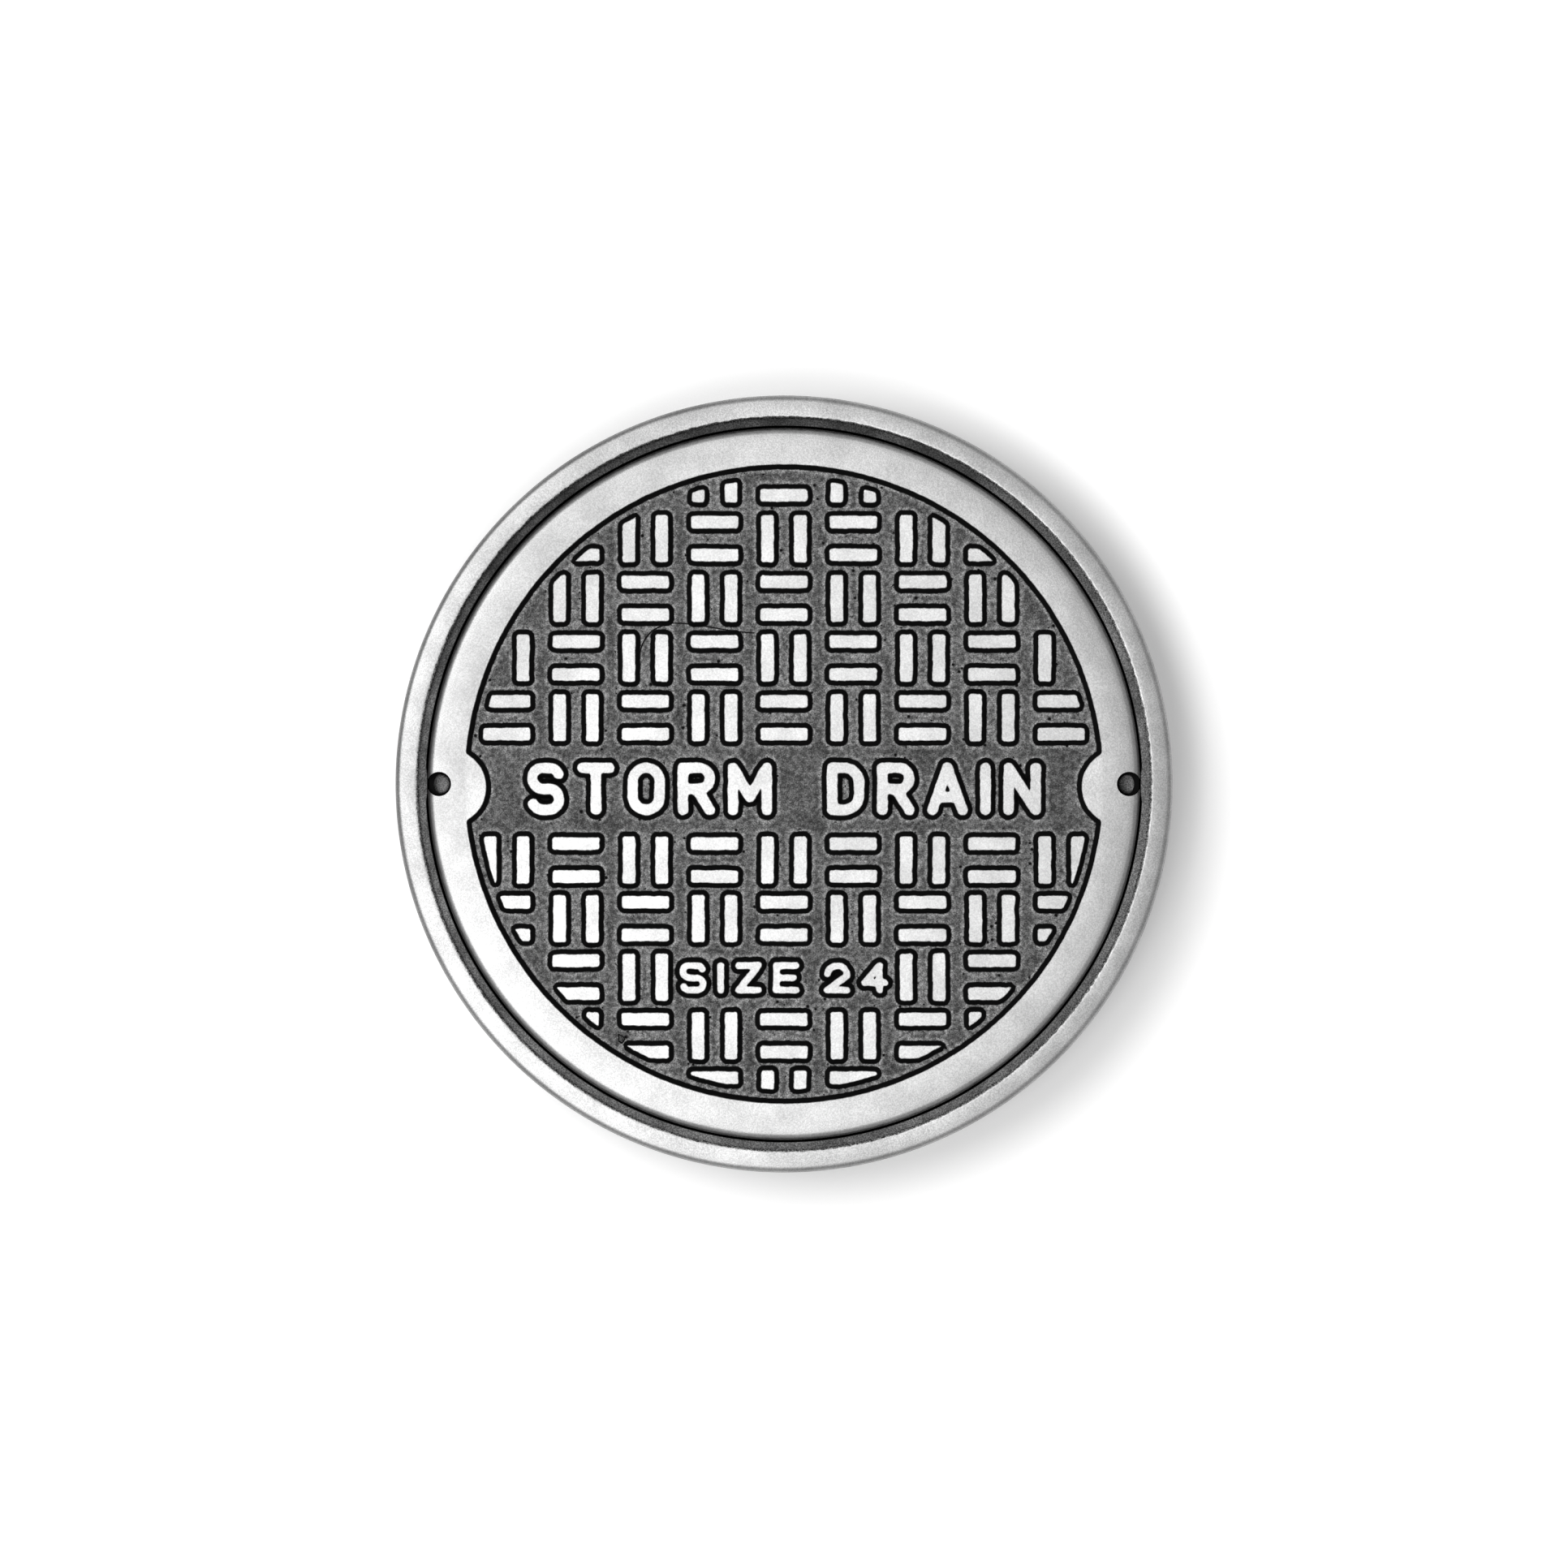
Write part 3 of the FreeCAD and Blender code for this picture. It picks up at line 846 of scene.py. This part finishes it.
    def _open_shell(self, shell: bmesh.types.BMesh) -> list[list[Vector]]:
        """Take away the old top, walls and floor of the field.

        Args:
            shell: The whole casting, cut open here.

        Returns:
            The edge that is left open, as pairs of points in space.
        """
        def goes(face: bmesh.types.BMFace) -> bool:
            """Whether the new skin takes this face's place."""
            middle = face.calc_center_median()
            low = min(v.co.z for v in face.verts)
            in_field = radius(middle) < self.rim_inner_r + 0.2 * MM
            on_round = low > self.top_z - self.outer_round - HAIR and abs(face.normal.z) > 0.02
            return self._is_top(face) or (low > self.field_z - HAIR and in_field) or on_round

        old = [face for face in shell.faces if goes(face)]
        bmesh.ops.delete(shell, geom=old, context="FACES")
        for vertex in shell.verts:
            if vertex.co.z > self.top_z - self.outer_round + 0.1 * MM:
                vertex.co.z = self.top_z - self._crown(radius(vertex.co))
        return [[v.co.copy() for v in e.verts] for e in shell.edges if e.is_boundary]

    def _spaced(self, loop: list[Vector]) -> list[Vector]:
        """Divide the long stretches of an outline and soften its corners.

        Args:
            loop: The outline's corners.

        Returns:
            Points at about the chosen spacing.
        """
        points = []
        is_rim = max(p.length for p in loop) > self.rim_inner_r - MM
        for start, end in sides(loop):
            parts = max(1, round((end - start).length / self.spacing))
            for j in range(parts):
                point = start.lerp(end, j / parts)
                on_arc = is_rim and min(start.length, end.length) > self.rim_inner_r - 0.1 * MM
                if on_arc:
                    point = point.normalized() * self.rim_inner_r
                points.append(point)
        count = len(points)
        for _ in range(2):
            points = [points[i] * 0.5 + (points[i - 1] + points[(i + 1) % count]) * 0.25
                      for i in range(count)]
        return points

    def _roughened(self, loop: list[Vector]) -> list[Vector]:
        """Give an outline the small lumps and dents of a sand casting.

        Args:
            loop: The outline.

        Returns:
            Its moved points, with half the movement on the rim.
        """
        result = []
        calm = 0.5 if max(p.length for p in loop) > self.rim_inner_r - 2 * MM else 1.0
        for point in loop:
            place = Vector((point.x, point.y, 0.3)) / MM
            move = Vector()
            for length, shift, depth in self.lumps:
                move += noise.noise_vector(place / length + Vector(shift)) * depth * MM
            result.append(point + move.to_2d() * calm)
        return result

    def _remember(self, outlines: list[list[Vector]]) -> None:
        """Store closely spaced samples of the outlines and which way the field lies.

        Args:
            outlines: Outlines of everything raised.
        """
        samples = []
        self.facing = []
        for loop in outlines:
            for start, end in sides(loop):
                along = (end - start).normalized()
                away = Vector((along.y, -along.x))
                parts = max(1, math.ceil((end - start).length / (0.3 * MM)))
                for j in range(parts):
                    samples.append(start.lerp(end, j / parts))
                    self.facing.append(away)
        self.tree = search_tree(samples)

    def _reach(self, point: Vector) -> float:
        """Distance to the nearest outline.

        Args:
            point: A point of the plane.

        Returns:
            The distance, below zero on the raised side.
        """
        nearest, index, distance = self.tree.find(point.to_3d())
        if distance < HAIR:
            return 0.0
        side = (point - nearest.to_2d()).dot(self.facing[index])
        return distance if side > 0 else -distance

    def _scatter_blemishes(self) -> None:
        """Choose nubs and pits in the field, and lay the thin veins."""
        dice = random.Random(self.seed)
        self.blemishes = []
        while len(self.blemishes) < self.blemish_count:
            angle, out = dice.uniform(0, math.tau), math.sqrt(dice.random())
            centre = heading(angle) * out * self.rim_inner_r
            size = dice.uniform(*self.blemish_sizes_mm) * MM
            rise = dice.choice(self.blemish_rises_mm) * MM
            if self.wall_run < self._reach(centre) < 9 * MM:
                self.blemishes.append(Blemish(centre, size, rise))
        for ends in self.veins_mm:
            corners = [Vector(p).to_3d() * MM for p in ends]
            for place in interpolate_bezier(*corners, self.vein_steps):
                if self._reach(place.to_2d()) > 1.0 * MM:
                    self.blemishes.append(Blemish(place.to_2d(), 1.0 * MM, 0.6 * MM))
        self.near = search_tree([blemish.centre for blemish in self.blemishes])

    def _blemish(self, point: Vector) -> tuple[float, float]:
        """What the blemishes do to the field.

        Args:
            point: A point of the plane.

        Returns:
            How far they raise it there, and how dark they make it.
        """
        rise, stain = 0.0, 0.0
        for _, index, _ in self.near.find_range(point.to_3d(), 2.6 * MM):
            share = self.blemishes[index].share(point)
            if share > stain:
                rise, stain = self.blemishes[index].rise * share, share
        return rise, min(1.0, stain * 2.5)

    def _height(self, point: Vector, reach: float) -> float:
        """Height of the skin.

        Args:
            point: A point of the plane.
            reach: Its distance to the nearest outline.

        Returns:
            The height of rim, tread, wall or floor there.
        """
        top = self.top_z - self._crown(point.length)
        if reach <= 0:
            return top - self.edge_drop * max(0.0, 1 + reach / self.edge_round)
        place = Vector((point.x, point.y, 0.0)) / MM
        uneven = unevenness(place, self.floor_waves)
        floor = self.field_z + uneven * MM * min(1.0, reach / (8 * MM))
        foot = floor + self.foot_rise
        if reach < self.wall_run:
            share = reach / self.wall_run
            return (top - self.edge_drop) * (1 - share) + foot * share
        share = min(1.0, (reach - self.wall_run) / self.foot_run)
        return foot + (floor - foot) * share

    def _ring(self, loop: list[Vector], *offsets: float) -> list[Vector]:
        """Points beside an outline.

        Args:
            loop: The outline.
            *offsets: Distances to try, the first one with no nearer outline being taken.

        Returns:
            The points.
        """
        count = len(loop)
        points = []
        for i, point in enumerate(loop):
            along = (loop[(i + 1) % count] - loop[i - 1]).normalized()
            for offset in offsets:
                moved = point + Vector((along.y, -along.x)) * offset
                reach = self._reach(moved)
                if abs(reach) > 0.9 * abs(offset) and (reach > 0) == (offset > 0):
                    points.append(moved)
                    break
        return points

    def _rim_rings(self) -> list[Vector]:
        """Even circles of points on the crowned rim and its rounded outer edge.

        Returns:
            The points, without those over a pick hole.
        """
        points = []
        flat = self.top_outer_r - self.crown_from_r
        rings = [self.crown_from_r + flat * i / 6 for i in range(6)]
        rings += [self.top_outer_r + self.outer_round * math.sin(math.radians(angle))
                  for angle in (0, 12, 26, 42, 60, 76)]
        count = round(math.tau * self.outer_r / self.rim_step)
        for distance in rings:
            for i in range(count):
                point = heading(math.tau * i / count) * distance
                if not self._in_pick_hole(point, 0.6 * MM):
                    points.append(point)
        return points

    def _scattered(self) -> list[Vector]:
        """Loose points that fill the floor and the rim's top.

        Returns:
            A jittered grid of points, and the samples of the blemishes.
        """
        dice = random.Random(self.seed)
        points = []
        step = self.floor_spacing
        count = int(self.top_outer_r / step) + 1
        for i in range(-count, count + 1):
            for j in range(-count, count + 1):
                point = Vector((i + dice.uniform(-0.3, 0.3), j + dice.uniform(-0.3, 0.3))) * step
                if point.length > self.crown_from_r - 2 * MM:
                    continue
                reach = self._reach(point)
                if reach > self.wall_run + 3 * MM or reach < -5 * MM:
                    points.append(point)
        for blemish in self.blemishes:
            points += [p for p in blemish.samples() if self._reach(p) > 0.4 * MM]
        return points

    def _lay_skin(self, shell: bmesh.types.BMesh, outlines: list[list[Vector]],
                  outer: list[list[Vector]]) -> None:
        """Cover the open shell with a new top, walls and field floor.

        Args:
            shell: The open casting.
            outlines: Outlines of everything raised.
            outer: The shell's open edge.
        """
        points, edges = [], []
        for loop in outlines:
            first = len(points)
            points += loop
            edges += [(first + i, first + (i + 1) % len(loop)) for i in range(len(loop))]
        for start, end in outer:
            edges.append((len(points), len(points) + 1))
            points += [start.to_2d(), end.to_2d()]
        for loop in outlines:
            points += self._ring(loop, -self.edge_round)
            points += self._ring(loop, *(self.wall_run * s for s in (1.0, 0.8, 0.6, 0.4, 0.2)))
            points += self._ring(loop, self.wall_run + 1.5 * MM)
        points += [p for p in self._scattered() if not self._in_pick_hole(p, 2 * MM)]
        points += self._rim_rings()
        places, _, faces, _, _, _ = delaunay_2d_cdt(points, edges, [], 0, 1e-6)
        rim = {(round(p.x, 6), round(p.y, 6)): p.z for pair in outer for p in pair}
        distance = shell.verts.layers.float.new("reach")
        dark = shell.verts.layers.float.new("stain")
        for vertex in shell.verts:
            vertex[distance] = self.far_mm
        made = []
        for place in places:
            kept_z = rim.get((round(place.x, 6), round(place.y, 6)))
            reach = self._reach(place) if kept_z is None else self.far_mm * MM
            z = self._height(place, reach) if kept_z is None else kept_z
            rise, stain = self._blemish(place) if reach > 0.2 * MM else (0.0, 0.0)
            vertex = shell.verts.new((place.x, place.y, z + rise))
            vertex[distance] = reach / MM
            vertex[dark] = stain
            made.append(vertex)
        for face in faces:
            middle = sum((places[i] for i in face), Vector((0, 0))) / len(face)
            if not self._in_pick_hole(middle, 0.0):
                shell.faces.new([made[i] for i in face])
        loose = [v for v in shell.verts if not v.link_faces]
        bmesh.ops.delete(shell, geom=loose, context="VERTS")
        bmesh.ops.remove_doubles(shell, verts=shell.verts, dist=4e-6)
        bmesh.ops.recalc_face_normals(shell, faces=shell.faces)
        for edge in shell.edges:
            ups = [face.normal.z for face in edge.link_faces]
            if ups and max(ups) > 0.99 and min(ups) < 0.96 and edge.verts[0][distance] < 0:
                edge.smooth = False

    def _in_pick_hole(self, point: Vector, margin: float) -> bool:
        """Whether a point of the top lies over or within a margin of a pick hole."""
        return any((point - centre).length < size + margin for centre, size in self.holes)


# ---- the frame and the small parts --------------------------------------------------------------
@dataclass
class FrameCasting:
    """The frame: base flange, throat, gussets, seat and the top ring round the cover."""

    effects: Effects
    tones: CastTones
    steps: int = 512
    pocket_r: float = 332.2 * MM
    ledge_r: float = 339.5 * MM
    ledge_drop: float = 7.0 * MM
    lip_drop: float = 0.05 * MM
    lip_round: float = 0.4 * MM
    flare_r: float = 346.667 * MM
    flare_rise: float = 8.0 * MM
    crown_drop: float = 1.3 * MM
    outer_round: float = 4.5 * MM
    stub_half: float = 12.0 * MM
    stub_reach: float = 1.4 * MM
    stub_full: float = 0.8
    stub_fade: float = 0.45
    edge: float = 1.0 * MM
    ledge_waves: tuple = ((9.0, 0.30), (4.0, 0.25))
    ledge_sway: float = 1.6 * MM
    ledge_dip: float = 0.35 * MM
    base_z: float = field(init=False)
    top_z: float = field(init=False)
    outer_r: float = field(init=False)

    def build(self) -> list[bpy.types.Object]:
        """Make both parts of the casting.

        Returns:
            The lower part and the top ring.
        """
        iron = FrameIron(self.effects, self.tones)
        lower = finished(merged_copy("frame"), "frame_base_casting", Body.FRAME, ["frame"],
                         iron.material, crease=40.0)
        bevel = lower.modifiers.new("broken_edges", "BEVEL")
        bevel.width = self.edge
        bevel.segments = 2
        bevel.limit_method = "ANGLE"
        bevel.angle_limit = math.radians(40.0)
        ring = finished(self._ring(), "frame_ring_casting", Body.FRAME, ["frame_top_ring"],
                        iron.material, crease=50.0)
        return [lower, ring]

    def _ring(self) -> bmesh.types.BMesh:
        """Spin the ring's section, round its edges and press out the two stubs.

        Returns:
            The ring's mesh.
        """
        low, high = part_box("frame_top_ring")
        self.base_z, self.top_z, self.outer_r = low[2], high[2], high[0]
        mesh = bmesh.new()
        section = [mesh.verts.new((r, 0.0, z)) for r, z in self._section()]
        edges = [mesh.edges.new((a, b)) for a, b in zip(section, section[1:] + section[:1])]
        bmesh.ops.spin(mesh, geom=section + edges, cent=(0, 0, 0), axis=(0, 0, 1),
                       angle=math.tau, steps=self.steps, use_merge=True)
        bmesh.ops.remove_doubles(mesh, verts=mesh.verts, dist=1e-6)
        corner_z = self.top_z - self.crown_drop
        self._round(mesh, self.outer_r, corner_z, self.outer_round, 5)
        self._round(mesh, self.ledge_r, self.top_z - self.lip_drop, self.lip_round, 2)
        self._round(mesh, self.pocket_r, self.top_z - self.ledge_drop, 0.6 * MM, 2)
        self._press_stubs(mesh)
        self._wear(mesh)
        bmesh.ops.recalc_face_normals(mesh, faces=mesh.faces)
        return mesh

    def _section(self) -> list[tuple[float, float]]:
        """Corners of the ring's section.

        Returns:
            Radius and height of each, from the pocket's foot round.
        """
        ledge_z = self.top_z - self.ledge_drop
        points = [(self.pocket_r, self.base_z), (self.flare_r, self.base_z),
                  (self.outer_r, self.base_z + self.flare_rise)]
        points += [(self.outer_r, self.base_z + share * (self.top_z - self.base_z))
                   for share in (0.45, 0.7)]
        flat = self.outer_r - self.ledge_r
        for share in (1.0, 0.72, 0.5, 0.3, 0.14):
            points.append((self.ledge_r + share * flat,
                           self.top_z - self.crown_drop * share ** 2))
        points += [(self.ledge_r, self.top_z - self.lip_drop), (self.ledge_r, ledge_z)]
        points += [(self.pocket_r + 3.6 * MM, ledge_z), (self.pocket_r, ledge_z)]
        return points + [(self.pocket_r, ledge_z - drop * MM) for drop in (5.0, 7.0, 10.0)]

    @staticmethod
    def _round(mesh: bmesh.types.BMesh, distance: float, height: float, size: float,
               segments: int) -> None:
        """Round one ring of edges.

        Args:
            mesh: The mesh to change.
            distance: The ring's distance from the axis.
            height: Its height.
            size: Size of the rounding.
            segments: How many faces it gets.
        """
        def on_it(vertex: bmesh.types.BMVert) -> bool:
            """Whether a vertex lies on the ring."""
            return (abs(radius(vertex.co) - distance) < 0.05 * MM
                    and abs(vertex.co.z - height) < 0.05 * MM)

        ring = [e for e in mesh.edges if on_it(e.verts[0]) and on_it(e.verts[1])]
        bmesh.ops.bevel(mesh, geom=ring, offset=size, segments=segments, profile=0.5,
                        affect="EDGES", material=-1, clamp_overlap=True)

    def _press_stubs(self, mesh: bmesh.types.BMesh) -> None:
        """Push the pocket's upper edge inwards beside the two pick holes.

        Args:
            mesh: The ring, changed here.
        """
        floor = self.top_z - self.ledge_drop - 8 * MM
        for vertex in mesh.verts:
            place = vertex.co
            out = radius(place)
            if out > self.pocket_r + 4 * MM or place.z < floor:
                continue
            side = abs(place.y) / self.stub_half
            past = max(0.0, side - self.stub_full)
            share = max(0.0, 1 - past / self.stub_fade)
            share = share * share * (3 - 2 * share)
            inner = 1.0 if out < self.pocket_r + 1.5 * MM else 0.5
            place.xy = place.xy * (1 - share * inner * self.stub_reach / out)

    def _wear(self, mesh: bmesh.types.BMesh) -> None:
        """Make the ledge and its edges uneven, as cast.

        Args:
            mesh: The ring, changed here.
        """
        for vertex in mesh.verts:
            place = vertex.co
            out = radius(place)
            if place.z < self.top_z - 9 * MM or out > self.ledge_r + 2 * MM:
                continue
            where = place / MM
            shift = unevenness(where, self.ledge_waves)
            if out > self.pocket_r + 1.0 * MM:
                place.xy = place.xy * (1 + shift * self.ledge_sway / out)
            if out > self.pocket_r + 1.0 * MM and place.z < self.top_z - 4 * MM:
                place.z += noise.noise(where / 6.0 + Vector((4, 4, 4))) * self.ledge_dip


@dataclass
class SmallParts:
    """Cushion, cups, seals and screws."""

    effects: Effects

    def build(self) -> list[bpy.types.Object]:
        """Make the pieces.

        Returns:
            Their objects.
        """
        rubber = Rubber("cushion_rubber", self.effects, 0.012)
        seal = Rubber("seal_rubber", self.effects, 0.02)
        steel = ZincSteel("cup_steel", self.effects, 0.48)
        zinc = ZincSteel("screw_zinc", self.effects, 0.6)
        pieces = [self._copy("seat_cushion", Body.RING, "rubber_cushion", rubber)]
        for side in ("left", "right"):
            pieces.append(self._copy("pick_cup_" + side, Body.COVER, "steel_cup", steel))
            pieces.append(self._copy("cup_seal_" + side, Body.COVER, "rubber_seal", seal))
            pieces.append(self._copy("cup_screws_" + side, Body.COVER, "steel_screws", zinc))
        return pieces

    @staticmethod
    def _copy(node: str, body: Body, slot: str, finish: Finish) -> bpy.types.Object:
        """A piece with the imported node's shape and a finish of its own."""
        mesh = merged_copy(node)
        return finished(mesh, node + "_finished", body, [node], finish.material)


# ---- studio -------------------------------------------------------------------------------------
@dataclass(frozen=True)
class Lamp:
    """A round soft light: its place and diameter in metres and its power in watts."""

    name: str
    place: tuple[float, float, float]
    size: float
    power: float

    def hang(self, target: tuple[float, float, float]) -> None:
        """Add the light to the scene.

        Args:
            target: The point that it is aimed at.
        """
        light = bpy.data.lights.new(self.name, "AREA")
        light.shape = "DISK"
        light.size = self.size
        light.energy = self.power
        holder = bpy.data.objects.new(self.name, light)
        holder.location = self.place
        aim = Vector(target) - Vector(self.place)
        holder.rotation_euler = aim.to_track_quat("-Z", "Y").to_euler()
        bpy.context.scene.collection.objects.link(holder)


@dataclass
class Studio:
    """Pale floor, soft lights and a long-lens camera straight above."""

    frame_width: float = 1.4597
    lens: float = 200.0
    sensor: float = 36.0
    floor_size: float = 30.0
    floor_shade: float = 0.92
    floor_rough: float = 0.9
    floor_shine: float = 0.1
    floor_glow: float = 0.11
    sky: float = 0.6
    target: tuple[float, float, float] = (0.0, 0.0, 0.1)
    lamps: tuple[Lamp, ...] = (Lamp("key", (-1.98, 0.85, 5.6), 2.6, 172.0),
                               Lamp("side", (-0.85, -1.2, 5.9), 1.7, 84.0))

    def build(self) -> None:
        """Make floor, lights, world and camera."""
        self._floor()
        self._world()
        for lamp in self.lamps:
            lamp.hang(self.target)
        self._camera()
        view = bpy.context.scene.view_settings
        view.view_transform = "Standard"
        view.look = "None"

    def _floor(self) -> None:
        """White sweep under the part."""
        mesh = bmesh.new()
        bmesh.ops.create_grid(mesh, x_segments=2, y_segments=2, size=self.floor_size)
        data = bpy.data.meshes.new("floor")
        mesh.to_mesh(data)
        mesh.free()
        paint = bpy.data.materials.new("floor_paint")
        paint.use_nodes = True
        shader = paint.node_tree.nodes["Principled BSDF"]
        for key, value in {"Base Color": grey(self.floor_shade), "Roughness": self.floor_rough,
                           "Specular IOR Level": self.floor_shine, "Emission Color": grey(1.0),
                           "Emission Strength": self.floor_glow}.items():
            shader.inputs[key].default_value = value
        data.materials.append(paint)
        floor = bpy.data.objects.new("floor", data)
        bpy.context.scene.collection.objects.link(floor)

    def _world(self) -> None:
        """Even white surroundings."""
        world = bpy.data.worlds.new("studio")
        world.use_nodes = True
        back = world.node_tree.nodes["Background"]
        back.inputs["Color"].default_value = grey(1.0)
        back.inputs["Strength"].default_value = self.sky
        bpy.context.scene.world = world

    def _camera(self) -> None:
        """Camera straight above, with the top of the lettering up."""
        data = bpy.data.cameras.new("camera")
        data.lens = self.lens
        data.sensor_width = self.sensor
        data.clip_end = 100.0
        camera = bpy.data.objects.new("camera", data)
        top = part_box("frame")[1][2]
        camera.location = (0.0, 0.0, top + self.frame_width * self.lens / self.sensor)
        bpy.context.scene.collection.objects.link(camera)
        bpy.context.scene.camera = camera


def main() -> None:
    """Build every piece, then the studio."""
    logging.basicConfig(level=logging.INFO, format="%(name)s %(message)s")
    tones = CastTones()
    effects = Effects()
    CoverCasting(effects, tones).build()
    FrameCasting(effects, tones).build()
    SmallParts(effects).build()
    Studio().build()
    bpy.context.view_layer.update()


if __name__ == "__main__":
    main()
